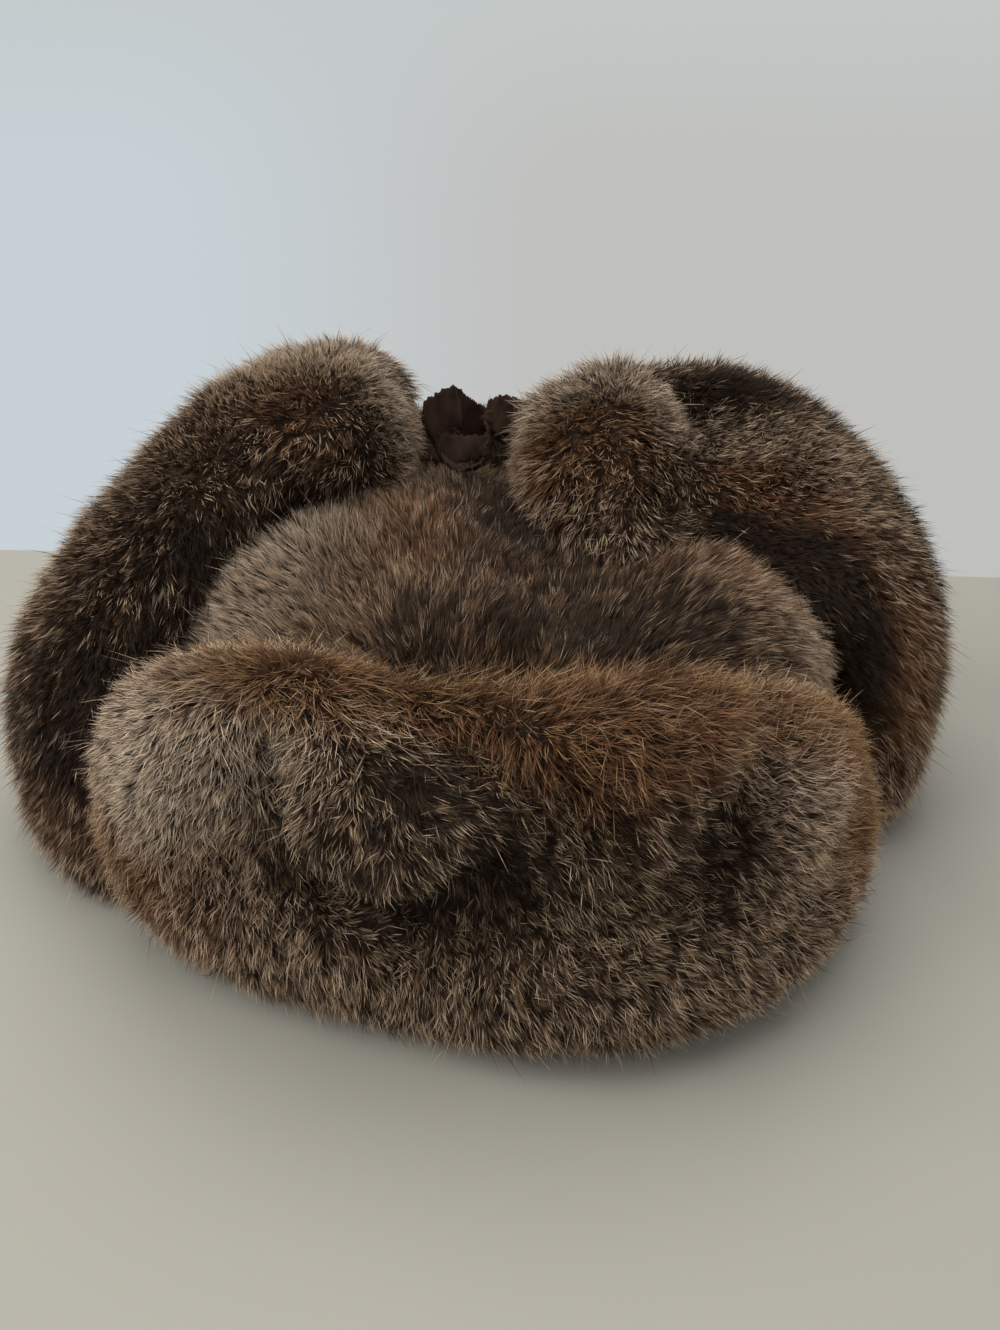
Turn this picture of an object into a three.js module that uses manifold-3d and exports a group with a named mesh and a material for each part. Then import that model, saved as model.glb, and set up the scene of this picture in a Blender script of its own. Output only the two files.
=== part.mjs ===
// A rabbit fur hat with its flaps folded up and tied together over the crown.
// Millimetres, +Z up, the front of the hat towards -Y, and the origin in the middle of its base.
// The crown is a hollow dome. Each flap is two pelts back to back, with fur on both sides, against the crown.

import * as THREE from "three";
import { mergeVertices } from "three/addons/utils/BufferGeometryUtils.js";
import Module from "manifold-3d";

const wasm = await Module();
wasm.setup();

// Head opening and crown
const OPENING_WIDTH = 178;
const OPENING_LENGTH = 206;
const RIM_WALL = 13; // pelt and the pile that the flaps press flat
const CROWN_WALL = 20; // pelt and loose pile at the top
const CROWN_HEIGHT = 122;

// Flaps
const FRONT_HEIGHT = 108;
const FRONT_THICKNESS = 42;
const NAPE_BELOW = 4; // from the nape flap's top up to the crown's
const NAPE_HEIGHT = CROWN_HEIGHT - NAPE_BELOW;
const NAPE_THICKNESS = 40;
const EAR_LENGTH = 246; // from the base over the crown to the tip, along the middle of the flap
const EAR_WIDTH = 150; // front to back at its widest
const EAR_THICKNESS = 47;
const EAR_REACH = 150; // from the middle of the hat out to the middle of the flap where it bulges most
const EAR_OVER = 27; // from the crown's top up to the middle of the flap at its highest
const EAR_RISE = CROWN_HEIGHT + EAR_OVER;

// Fur, in overlapping rows of locks
const LOCK_WIDTH = 20;
const LOCK_LENGTH = 19; // from one row to the next
const LOCK_STAND = 4; // how far the tips stand out

// Suede tie
const TIE_WIDTH = 12;
const TIE_THICKNESS = 2;
const BOW_WIDTH = 46;
const KNOT_SIZE = 13;

const GAP = 0.3; // between touching pieces
const PRESS = 1.5; // how far a flap would sink into the crown if the crown did not push it back

const FUR_COLOURS = { crown: 0x6b5443, front: 0x6e5a48, nape: 0x4b3a2e, ear: 0x5d4837 };
const SUEDE_COLOUR = 0x2f201a;

const RIM_HALF_WIDTH = OPENING_WIDTH / 2 + RIM_WALL;
const RIM_HALF_LENGTH = OPENING_LENGTH / 2 + RIM_WALL;

// Crown from the rim to the top. up is a share of its height, wide and long are shares of the rim's half sizes.
const CROWN_PROFILE = [
  { at: 0, up: 0, wide: 1, long: 1 },
  { at: 0.14, up: 0.16, wide: 1.07, long: 1.01 },
  { at: 0.28, up: 0.34, wide: 1.14, long: 1.03 },
  { at: 0.42, up: 0.53, wide: 1.17, long: 1.02 },
  { at: 0.56, up: 0.7, wide: 1.12, long: 0.97 },
  { at: 0.7, up: 0.85, wide: 0.95, long: 0.84 },
  { at: 0.82, up: 0.94, wide: 0.7, long: 0.63 },
  { at: 0.92, up: 0.985, wide: 0.36, long: 0.34 },
  { at: 1, up: 1, wide: 0, long: 0 },
];

// Dents in the crown, seen from above. Their ends are shares of the rim's half sizes, and their width and depth of
// the crown's height.
const CROWN_DENTS = [
  { x0: 0.12, y0: 0.3, x1: 0.2, y1: -0.75, width: 0.16, depth: 0.07 },
  { x0: -0.85, y0: -0.55, x1: 0.9, y1: -0.6, width: 0.12, depth: 0.04 },
  { x0: 0.35, y0: -0.2, x1: 0.95, y1: -0.1, width: 0.2, depth: 0.08 },
  { x0: -0.5, y0: 0.66, x1: 0.5, y1: 0.66, width: 0.34, depth: 0.12 },
];

// Front flap from its left end to its right. high and thick are shares of its sizes, and out of its thickness.
const FRONT_SPAN = { from: -66, to: 60 }; // degrees from straight ahead
const FRONT_SECTIONS = [
  { at: 0, high: 0.3, thick: 0.12, out: 0.3 },
  { at: 0.018, high: 0.52, thick: 0.62, out: 0.28 },
  { at: 0.06, high: 0.72, thick: 0.95, out: 0.22 },
  { at: 0.14, high: 0.88, thick: 1.08, out: 0.12 },
  { at: 0.28, high: 0.99, thick: 1.0, out: 0.02 },
  { at: 0.42, high: 0.96, thick: 0.9, out: 0 },
  { at: 0.56, high: 1.0, thick: 0.96, out: 0.05 },
  { at: 0.68, high: 0.94, thick: 1.02, out: 0.08 },
  { at: 0.8, high: 0.82, thick: 1.03, out: 0.09 },
  { at: 0.9, high: 0.67, thick: 0.98, out: 0.08 },
  { at: 0.965, high: 0.48, thick: 0.72, out: 0.06 },
  { at: 1, high: 0.26, thick: 0.12, out: 0.06 },
];

// Folds in the outer face of the front flap. Their ends are shares of its length and height, and their width and
// depth of its thickness. A raised fold has a negative depth.
const FRONT_FOLDS = [
  { x0: 0.24, y0: 0.74, x1: 0.26, y1: 0.5, width: 0.3, depth: 0.2 },
  { x0: 0.26, y0: 0.5, x1: 0.46, y1: 0.42, width: 0.28, depth: 0.26 },
  { x0: 0.46, y0: 0.42, x1: 0.62, y1: 0.56, width: 0.3, depth: 0.2 },
  { x0: 0.38, y0: 0.98, x1: 0.5, y1: 0.72, width: 0.3, depth: 0.2 },
  { x0: 0.86, y0: 0.8, x1: 0.77, y1: 0.42, width: 0.36, depth: 0.22 },
  { x0: 0.34, y0: 0.66, x1: 0.44, y1: 0.6, width: 0.3, depth: -0.14 },
  { x0: 0.12, y0: 0.5, x1: 0.14, y1: 0.6, width: 0.7, depth: -0.12 },
  { x0: 0.7, y0: 0.24, x1: 0.5, y1: 0.16, width: 0.5, depth: -0.1 },
];

// Nape flap, the same way, from the right ear flap round the back to the left one.
const NAPE_SPAN = { from: 118, to: 242 };
const NAPE_SECTIONS = [
  { at: 0, high: 0.9, thick: 0.7, out: 0 },
  { at: 0.12, high: 0.97, thick: 0.95, out: 0 },
  { at: 0.35, high: 1.0, thick: 1.0, out: 0.03 },
  { at: 0.55, high: 0.98, thick: 1.04, out: 0.05 },
  { at: 0.8, high: 1.0, thick: 0.98, out: 0.02 },
  { at: 0.9, high: 0.96, thick: 0.93, out: 0 },
  { at: 1, high: 0.9, thick: 0.7, out: 0 },
];
const NAPE_FOLDS = [
  { x0: 0.3, y0: 0.95, x1: 0.36, y1: 0.25, width: 0.32, depth: 0.14 },
  { x0: 0.68, y0: 0.9, x1: 0.62, y1: 0.3, width: 0.32, depth: 0.12 },
];

// Ear flaps from the base over the crown to the tip. out is a share of EAR_REACH, up of EAR_RISE, and wide and thick
// of the flap's own sizes. back is a share of its width, and roll turns the section about its path, in degrees.
const LEFT_EAR_SECTIONS = [
  { at: 0, out: 0.95, up: 0, wide: 1.08, thick: 1.46, back: 0.0, roll: 0 },
  { at: 0.1, out: 0.99, up: 0.16, wide: 1.08, thick: 1.4, back: 0.01, roll: 0 },
  { at: 0.24, out: 1, up: 0.37, wide: 1.05, thick: 1.2, back: 0.03, roll: 0 },
  { at: 0.38, out: 0.92, up: 0.56, wide: 0.98, thick: 1.0, back: 0.06, roll: 0 },
  { at: 0.52, out: 0.76, up: 0.74, wide: 0.92, thick: 0.94, back: 0.09, roll: 0 },
  { at: 0.66, out: 0.61, up: 0.88, wide: 0.84, thick: 0.92, back: 0.11, roll: 0 },
  { at: 0.8, out: 0.45, up: 0.94, wide: 0.74, thick: 0.92, back: 0.12, roll: 0 },
  { at: 0.91, out: 0.33, up: 0.935, wide: 0.62, thick: 0.9, back: 0.12, roll: 0 },
  { at: 0.975, out: 0.25, up: 0.92, wide: 0.42, thick: 0.66, back: 0.12, roll: 0 },
  { at: 1, out: 0.22, up: 0.91, wide: 0.12, thick: 0.16, back: 0.12, roll: 0 },
];
const RIGHT_EAR_SECTIONS = [
  { at: 0, out: 0.89, up: 0, wide: 1.02, thick: 1.3, back: 0.1, roll: 0 },
  { at: 0.1, out: 0.95, up: 0.16, wide: 1.04, thick: 1.26, back: 0.1, roll: 2 },
  { at: 0.24, out: 0.99, up: 0.36, wide: 1.04, thick: 1.14, back: 0.1, roll: 6 },
  { at: 0.38, out: 0.965, up: 0.56, wide: 1.0, thick: 1.04, back: 0.09, roll: 12 },
  { at: 0.52, out: 0.83, up: 0.71, wide: 0.96, thick: 1.0, back: 0.07, roll: 18 },
  { at: 0.66, out: 0.63, up: 0.785, wide: 0.86, thick: 0.9, back: 0.04, roll: 24 },
  { at: 0.76, out: 0.46, up: 0.8, wide: 0.74, thick: 0.84, back: 0.0, roll: 28 },
  { at: 0.86, out: 0.3, up: 0.83, wide: 0.64, thick: 0.98, back: -0.04, roll: 32 },
  { at: 0.94, out: 0.17, up: 0.825, wide: 0.54, thick: 0.9, back: -0.06, roll: 32 },
  { at: 0.985, out: 0.09, up: 0.81, wide: 0.36, thick: 0.56, back: -0.06, roll: 32 },
  { at: 1, out: 0.07, up: 0.8, wide: 0.1, thick: 0.14, back: -0.06, roll: 32 },
];

// A row's values at a share of the way through a table, on a smooth curve through its rows.
function between(rows, share) {
  let i = 0;
  while (i < rows.length - 2 && rows[i + 1].at < share) i += 1;
  const [low, high] = [rows[i], rows[i + 1]];
  const before = rows[Math.max(i - 1, 0)];
  const after = rows[Math.min(i + 2, rows.length - 1)];
  const step = high.at - low.at;
  const t = THREE.MathUtils.clamp((share - low.at) / step, 0, 1);
  const values = {};
  for (const name of Object.keys(low)) {
    const startSlope = ((high[name] - before[name]) / (high.at - before.at)) * step;
    const endSlope = ((after[name] - low[name]) / (after.at - low.at)) * step;
    values[name] =
      (2 * t ** 3 - 3 * t ** 2 + 1) * low[name] +
      (t ** 3 - 2 * t ** 2 + t) * startSlope +
      (-2 * t ** 3 + 3 * t ** 2) * high[name] +
      (t ** 3 - t ** 2) * endSlope;
  }
  return values;
}

// The depth of a table of folds at a point, with the point and the folds' ends in units of across and along.
function foldDepth(folds, x, y, across, along, unit) {
  let depth = 0;
  for (const fold of folds) {
    const line = new THREE.Line3(
      new THREE.Vector3(fold.x0 * across, fold.y0 * along, 0),
      new THREE.Vector3(fold.x1 * across, fold.y1 * along, 0),
    );
    const point = new THREE.Vector3(x * across, y * along, 0);
    const away = line.closestPointToPoint(point, true, new THREE.Vector3()).distanceTo(point);
    depth += fold.depth * unit * Math.exp(-((away / (fold.width * unit)) ** 2));
  }
  return depth;
}

// One turn round a section: two numbers from -1 to 1 on a rounded rectangle. gather moves steps of the turn from one
// pair of its sides to the other.
function roundedTurn(share, squareness, gather) {
  const angle = 2 * Math.PI * share - gather * Math.sin(4 * Math.PI * share);
  const ease = (value) => Math.sign(value) * Math.abs(value) ** squareness;
  return [ease(Math.cos(angle)), ease(Math.sin(angle))];
}

// The distance from the middle of the hat to the rim's outer edge, at an angle from straight ahead.
function rimRadius(angle) {
  return 1 / Math.hypot(Math.sin(angle) / RIM_HALF_WIDTH, Math.cos(angle) / RIM_HALF_LENGTH);
}

// Each surface below gives a point from a turn round its section and a share of the way along it, both 0 to 1.
// lift raises its furry side by a share of LOCK_STAND, and extra grows it all round.

function crownOuter(turn, share, lift = 0, extra = 0) {
  const row = between(CROWN_PROFILE, share);
  const angle = 2 * Math.PI * turn;
  const x = Math.cos(angle) * row.wide;
  const y = Math.sin(angle) * row.long;
  const dent = foldDepth(CROWN_DENTS, x, y, RIM_HALF_WIDTH, RIM_HALF_LENGTH, CROWN_HEIGHT);
  const topness = THREE.MathUtils.smoothstep(row.up, 0.55, 0.9);
  const grown = extra + lift * LOCK_STAND * THREE.MathUtils.smoothstep(row.up, 0.35, 0.55);
  return new THREE.Vector3(
    x * RIM_HALF_WIDTH + Math.cos(angle) * grown,
    y * RIM_HALF_LENGTH + Math.sin(angle) * grown,
    row.up * CROWN_HEIGHT - dent * topness + grown * topness,
  );
}

// The crown's inner face: the outer one less a wall that thickens from the rim to the top.
function crownInner(turn, share) {
  const point = crownOuter(turn, share);
  const rise = THREE.MathUtils.smoothstep(share, 0, 0.4);
  const wall = THREE.MathUtils.lerp(RIM_WALL, CROWN_WALL, rise);
  const reach = Math.hypot(point.x, point.y);
  const kept = Math.max(reach - wall, 0) / Math.max(reach, 1);
  const top = (CROWN_HEIGHT - CROWN_WALL) / CROWN_HEIGHT;
  return new THREE.Vector3(point.x * kept, point.y * kept, point.z * top);
}

// A flap that stands along an arc of the rim.
function arcFlap({ span, sections, folds, height, thickness }) {
  return (turn, share, lift = 0, extra = 0) => {
    const row = between(sections, share);
    const angle = THREE.MathUtils.degToRad(THREE.MathUtils.lerp(span.from, span.to, share));
    const [through, rise] = roundedTurn(turn, 0.66, 0.25);
    const up = 0.46 + 0.54 * rise; // the lowest stretch of the section is cut off flat where it stands
    const outside = THREE.MathUtils.smoothstep(through, -0.6, 0.1);
    const furry = outside * THREE.MathUtils.smoothstep(up, 0.02, 0.16);
    const grown = extra + lift * LOCK_STAND * furry;
    const half = (row.thick * thickness) / 2;
    const arc = rimRadius(angle) * THREE.MathUtils.degToRad(span.to - span.from);
    const dent = foldDepth(folds, share, up, arc, height, thickness) * Math.max(through, 0);
    const radius = rimRadius(angle) + half - PRESS + row.out * thickness + through * (half + grown) - dent;
    const z = Math.max(up * (row.high * height + grown), 0);
    return new THREE.Vector3(Math.sin(angle) * radius, -Math.cos(angle) * radius, z);
  };
}

// An ear flap on side -1 or 1.
function earFlap({ sections, side }) {
  const halfLength = RIM_HALF_LENGTH + EAR_THICKNESS / 2;
  const path = (share) => {
    const row = between(sections, share);
    return new THREE.Vector2(row.out * EAR_REACH, row.up * EAR_RISE);
  };
  return (turn, share, lift = 0, extra = 0) => {
    const row = between(sections, share);
    const step = 0.01;
    const tangent = path(Math.min(share + step, 1)).sub(path(Math.max(share - step, 0))).normalize();
    const upright = THREE.MathUtils.smoothstep(share, 0, 0.12);
    const normal = new THREE.Vector2(
      THREE.MathUtils.lerp(1, tangent.y, upright),
      THREE.MathUtils.lerp(0, -tangent.x, upright),
    ).normalize();
    const [across, through] = roundedTurn(turn, 0.72, -0.25);
    const outside = THREE.MathUtils.smoothstep(through, -0.9, -0.1);
    const furry = outside * THREE.MathUtils.smoothstep(share, 0.02, 0.1);
    const grown = extra + lift * LOCK_STAND * furry;
    const roll = THREE.MathUtils.degToRad(row.roll);
    const half = (row.thick * EAR_THICKNESS) / 2 + grown;
    const halfWidth = (row.wide * EAR_WIDTH) / 2 + grown;
    const wide = across * halfWidth * Math.cos(roll) - through * half * Math.sin(roll);
    const thick = through * half * Math.cos(roll) + across * halfWidth * Math.sin(roll);
    const y = row.back * EAR_WIDTH + wide;
    const round = Math.sqrt(Math.max(1 - (y / halfLength) ** 2, 0.05));
    const middle = path(share).addScaledVector(tangent, Math.max(share - 1, 0) * EAR_LENGTH);
    return new THREE.Vector3(
      side * (middle.x * round + normal.x * thick),
      y,
      Math.max(middle.y + normal.y * thick, 0),
    );
  };
}

// One ring of points on a surface.
function ringOn(surface, columns, share, lift = () => 0, shift = () => 0, extra = 0) {
  return Array.from({ length: columns }, (_, j) =>
    surface(j / columns, share + shift(j), lift(j), extra),
  );
}

function evenShares(count) {
  return Array.from({ length: count + 1 }, (_, i) => i / count);
}

// An even but irregular number from -1 to 1 for each pair of counts.
function scatter(i, j) {
  const wave = Math.sin(i * 12.9898 + j * 78.233) * 43758.5453;
  return 2 * (wave - Math.floor(wave)) - 1;
}

// Rings over a surface in rows of locks, each row rising to points that stand out over the start of the next. The
// points of a row lie towards 1 where forward(share) is true, or else towards 0.
function furRings(surface, { columns, rows, from, to, forward }, extra) {
  const rings = [];
  const width = (to - from) / rows;
  for (let i = 0; i < rows; i += 1) {
    const [start, end] = [from + i * width, from + (i + 1) * width];
    const ahead = forward((start + end) / 2);
    const point = (j) => (j + i) % 2; // every other column carries a point, and the next row's lie between
    const lift = (j) => (point(j) ? 0.85 : 0.45) + 0.15 * scatter(i, j);
    const reach = (j) => (point(j) ? -0.05 : -0.42 + 0.1 * scatter(j, i));
    const shift = (j) => (ahead ? 1 : -1) * width * reach(j);
    const tips = ringOn(surface, columns, ahead ? end : start, lift, shift, extra);
    const roots = ringOn(surface, columns, ahead ? start : end, () => 0, () => 0, extra);
    rings.push(...(ahead ? [roots, tips] : [tips, roots]));
  }
  return rings;
}

// A closed solid from an indexed shape, whichever way round its faces were listed.
function solidOf(shape) {
  const merged = mergeVertices(shape, 1e-3);
  const at = (index) => new THREE.Vector3().fromBufferAttribute(merged.attributes.position, index);
  const kept = [];
  let volume = 0;
  for (let i = 0; i < merged.index.count; i += 3) {
    const [a, b, c] = [0, 1, 2].map((k) => merged.index.getX(i + k));
    if (a === b || b === c || c === a) continue;
    kept.push([a, b, c]);
    volume += at(a).dot(at(b).cross(at(c)));
  }
  const facing = volume < 0 ? kept.map(([a, b, c]) => [a, c, b]) : kept;
  return new wasm.Manifold(
    new wasm.Mesh({
      numProp: 3,
      vertProperties: merged.attributes.position.array,
      triVerts: new Uint32Array(facing.flat()),
    }),
  );
}

// A closed body through rings of as many points each, with a fan over the first and the last.
function loft(rings) {
  const count = rings[0].length;
  const centres = [rings[0], rings.at(-1)].map((ring) =>
    ring.reduce((sum, point) => sum.add(point), new THREE.Vector3()).divideScalar(count),
  );
  const points = [...rings.flat(), ...centres];
  const [first, last] = [points.length - 2, points.length - 1];
  const lastRing = (rings.length - 1) * count;
  const faces = [];
  for (let j = 0; j < count; j += 1) {
    const next = (j + 1) % count;
    for (let i = 0; i < lastRing; i += count) {
      faces.push(i + j, i + next, i + count + next, i + j, i + count + next, i + count + j);
    }
    faces.push(first, next, j, last, lastRing + j, lastRing + next);
  }
  return solidOf(new THREE.BufferGeometry().setFromPoints(points).setIndex(faces));
}

// The largest body of a solid, without the crumbs that a cut leaves.
function largest(solid) {
  return solid.decompose().reduce((best, body) => (body.volume() > best.volume() ? body : best));
}

function meshOf(name, solid, material) {
  const { vertProperties, triVerts } = solid.getMesh();
  const shape = new THREE.BufferGeometry();
  shape.setAttribute("position", new THREE.BufferAttribute(vertProperties, 3));
  shape.setIndex(new THREE.BufferAttribute(triVerts, 1));
  shape.computeVertexNormals();
  const mesh = new THREE.Mesh(shape, material);
  mesh.name = name;
  return mesh;
}

function soft(colour) {
  return new THREE.MeshStandardMaterial({ color: colour, roughness: 0.95, metalness: 0 });
}

// Crown

const CROWN_COLUMNS = 34;
const CROWN_BARE = 0.36; // up to here the flaps cover it
const CROWN_LOCKS = { columns: CROWN_COLUMNS, rows: 6, from: CROWN_BARE, to: 0.97, forward: () => false };

// The crown's outer face, grown by extra.
function crownOutside(extra) {
  const bare = evenShares(8).filter((share) => share < CROWN_BARE - 0.05);
  const plain = (share) => ringOn(crownOuter, CROWN_COLUMNS, share, () => 0, () => 0, extra);
  return [...bare.map(plain), ...furRings(crownOuter, CROWN_LOCKS, extra), plain(1)];
}

function crownBody() {
  const inside = evenShares(8).map((share) => ringOn(crownInner, CROWN_COLUMNS, share));
  return loft([...inside.reverse(), ...crownOutside(0)]);
}

// The crown without its hollow, grown by the gap and carried on down below its rim.
function crownRoom() {
  const outside = crownOutside(GAP);
  return loft([outside[0].map((point) => point.clone().setZ(-GAP)), ...outside]);
}

// Flaps

const FRONT = {
  span: FRONT_SPAN,
  sections: FRONT_SECTIONS,
  folds: FRONT_FOLDS,
  height: FRONT_HEIGHT,
  thickness: FRONT_THICKNESS,
};
const NAPE = {
  span: NAPE_SPAN,
  sections: NAPE_SECTIONS,
  folds: NAPE_FOLDS,
  height: NAPE_HEIGHT,
  thickness: NAPE_THICKNESS,
};
const LEFT_EAR = { sections: LEFT_EAR_SECTIONS, side: -1 };
const RIGHT_EAR = { sections: RIGHT_EAR_SECTIONS, side: 1 };

// The body of a flap with its locks, and the room it takes up with a gap all round.
function flap(surface, length, girth, forward) {
  const rows = Math.round(length / LOCK_LENGTH);
  const columns = 2 * Math.round(girth / LOCK_WIDTH);
  const [body, grown] = [0, GAP].map((extra) => {
    const end = (share) => ringOn(surface, columns, share, () => 0, () => 0, extra);
    const locks = furRings(surface, { columns, rows, from: 0.02, to: 0.98, forward }, extra);
    return loft([end(-extra / length), ...locks, end(1 + extra / length)]);
  });
  return { body, room: wasm.Manifold.union([body, grown]) };
}

// The locks of the front and nape flaps lie away from their middle, and those of the ear flaps towards their tips.
function standingFlap(shape) {
  const length = THREE.MathUtils.degToRad(shape.span.to - shape.span.from) * RIM_HALF_LENGTH;
  return flap(arcFlap(shape), length, 2 * (shape.height + shape.thickness), (share) => share > 0.5);
}

function foldedFlap(shape) {
  return flap(earFlap(shape), EAR_LENGTH, 2 * (EAR_WIDTH + EAR_THICKNESS), () => true);
}

const front = standingFlap(FRONT);
const nape = standingFlap(NAPE);
const leftEar = foldedFlap(LEFT_EAR);
const rightEar = foldedFlap(RIGHT_EAR);

// Tie. x, y and z are shares of BOW_WIDTH from the knot. lean turns the ribbon about its length, in degrees.

const KNOT = new THREE.Vector3(0, 0.13 * EAR_WIDTH, 0.945 * EAR_RISE);

const LEFT_LOOP = [
  { at: 0, x: -0.04, y: -0.05, z: -0.02, lean: 0 },
  { at: 0.14, x: -0.13, y: -0.12, z: -0.35, lean: 0 },
  { at: 0.26, x: -0.3, y: -0.14, z: -0.37, lean: 5 },
  { at: 0.4, x: -0.48, y: -0.12, z: -0.26, lean: 15 },
  { at: 0.53, x: -0.57, y: -0.08, z: -0.08, lean: 30 },
  { at: 0.65, x: -0.55, y: -0.04, z: 0.1, lean: 42 },
  { at: 0.8, x: -0.34, y: 0.02, z: 0.17, lean: 45 },
  { at: 0.9, x: -0.18, y: 0.06, z: 0.1, lean: 30 },
  { at: 1, x: -0.04, y: 0.05, z: 0.04, lean: 0 },
];
const RIGHT_LOOP = [
  { at: 0, x: 0.04, y: 0, z: 0.02, lean: 0 },
  { at: 0.16, x: 0.1, y: -0.02, z: 0.17, lean: 10 },
  { at: 0.35, x: 0.3, y: -0.06, z: 0.2, lean: 35 },
  { at: 0.52, x: 0.44, y: -0.08, z: 0.04, lean: 40 },
  { at: 0.7, x: 0.36, y: -0.08, z: -0.16, lean: 25 },
  { at: 0.86, x: 0.16, y: -0.04, z: -0.16, lean: 10 },
  { at: 1, x: 0.02, y: 0, z: -0.04, lean: 0 },
];
const LEFT_STRAP = [
  { at: 0, x: -0.19, y: 0.1, z: -0.03, lean: 70 },
  { at: 0.3, x: -0.45, y: 0.14, z: -0.1, lean: 75 },
  { at: 0.6, x: -0.75, y: 0.12, z: -0.08, lean: 80 },
  { at: 1, x: -1.3, y: 0.06, z: 0.02, lean: 85 },
];
const RIGHT_STRAP = [
  { at: 0, x: 0.19, y: 0.1, z: 0.03, lean: 70 },
  { at: 0.3, x: 0.4, y: 0.12, z: 0.12, lean: 75 },
  { at: 0.6, x: 0.7, y: 0.1, z: 0.08, lean: 80 },
  { at: 1, x: 1.2, y: 0.06, z: -0.02, lean: 85 },
];

// A length of ribbon through a table's rows, grown by extra.
function ribbon(rows, stations, extra) {
  const at = (share) => {
    const row = between(rows, share);
    return new THREE.Vector3(row.x, row.y, row.z).multiplyScalar(BOW_WIDTH).add(KNOT);
  };
  const rings = evenShares(stations).map((share) => {
    const ahead = at(Math.min(share + 0.01, 1)).sub(at(Math.max(share - 0.01, 0))).normalize();
    const lean = THREE.MathUtils.degToRad(between(rows, share).lean);
    const side = new THREE.Vector3(0, 1, 0).projectOnPlane(ahead).normalize().applyAxisAngle(ahead, lean);
    const normal = new THREE.Vector3().crossVectors(ahead, side);
    const corners = [
      [1, 1],
      [-1, 1],
      [-1, -1],
      [1, -1],
    ];
    return corners.map(([s, n]) =>
      at(share)
        .addScaledVector(side, s * (TIE_WIDTH / 2 + extra))
        .addScaledVector(normal, n * (TIE_THICKNESS / 2 + extra)),
    );
  });
  return loft(rings);
}

function knot(extra) {
  const ball = new THREE.SphereGeometry(0.5, 12, 8);
  ball.scale(KNOT_SIZE * 0.8 + 2 * extra, KNOT_SIZE + 2 * extra, KNOT_SIZE + 2 * extra);
  ball.translate(KNOT.x, KNOT.y, KNOT.z);
  ball.deleteAttribute("normal").deleteAttribute("uv");
  return solidOf(ball);
}

function bow(extra) {
  return wasm.Manifold.union([knot(extra), ribbon(LEFT_LOOP, 30, extra), ribbon(RIGHT_LOOP, 24, extra)]);
}

// Assembly

const crownTaken = crownRoom();
const cut = (body, rooms) => largest(rooms.reduce((left, room) => left.subtract(room), body));
const around = [crownTaken, front.room, nape.room, leftEar.room, rightEar.room];
const leftStrap = ribbon(LEFT_STRAP, 10, 0);
const rightStrap = ribbon(RIGHT_STRAP, 10, 0);

const pieces = [
  ["crown", crownBody(), soft(FUR_COLOURS.crown)],
  ["front_flap", cut(front.body, [crownTaken]), soft(FUR_COLOURS.front)],
  ["nape_flap", cut(nape.body, [crownTaken]), soft(FUR_COLOURS.nape)],
  ["ear_flap_left", cut(leftEar.body, [crownTaken, front.room, nape.room]), soft(FUR_COLOURS.ear)],
  ["ear_flap_right", cut(rightEar.body, [crownTaken, front.room, nape.room]), soft(FUR_COLOURS.ear)],
  ["tie_bow", cut(bow(0), around), soft(SUEDE_COLOUR)],
  ["tie_strap_left", cut(leftStrap, [...around, bow(GAP)]), soft(SUEDE_COLOUR)],
  ["tie_strap_right", cut(rightStrap, [...around, bow(GAP)]), soft(SUEDE_COLOUR)],
];

const hat = new THREE.Group();
for (const [name, solid, material] of pieces) hat.add(meshOf(name, solid, material));

// The pieces are moved so that the middle of the base lies on the origin.
const middle = new THREE.Box3().setFromObject(hat).getCenter(new THREE.Vector3());
for (const mesh of hat.children) mesh.geometry.translate(-middle.x, -middle.y, 0);

export default hat;
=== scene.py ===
"""A rabbit fur hat at rest on its rim, with its flaps tied up over the crown.

Each furry part is a soft pelt, made from its CAD solid, with its hair as joined meshes of fine blades.
Lengths in the tables are millimetres. Everything that Blender gets is in metres.
"""

import math

import bpy
import numpy as np
from mathutils import Matrix, Vector, kdtree
from mathutils.bvhtree import BVHTree


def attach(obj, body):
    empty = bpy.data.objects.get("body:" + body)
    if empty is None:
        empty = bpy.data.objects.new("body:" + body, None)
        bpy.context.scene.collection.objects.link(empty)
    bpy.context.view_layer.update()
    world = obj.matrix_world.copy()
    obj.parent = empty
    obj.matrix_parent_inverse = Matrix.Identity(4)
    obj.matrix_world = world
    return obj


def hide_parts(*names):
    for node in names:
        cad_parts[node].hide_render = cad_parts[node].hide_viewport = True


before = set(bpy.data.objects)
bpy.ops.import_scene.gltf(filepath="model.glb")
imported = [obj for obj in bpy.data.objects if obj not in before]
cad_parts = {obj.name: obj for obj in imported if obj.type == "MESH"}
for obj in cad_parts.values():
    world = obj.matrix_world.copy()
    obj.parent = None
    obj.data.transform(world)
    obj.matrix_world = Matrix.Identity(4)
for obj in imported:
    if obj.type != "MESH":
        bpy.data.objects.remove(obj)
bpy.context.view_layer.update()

MM = 0.001
scene = bpy.context.scene

# Camera, at the photograph's angle

LENS = 27.07
PITCH = 27
TURN = -6
ROLL = 1
CAMERA_BACK = 358
CAMERA_HEIGHT = 230
MIDDLE_X = 3.75


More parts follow.
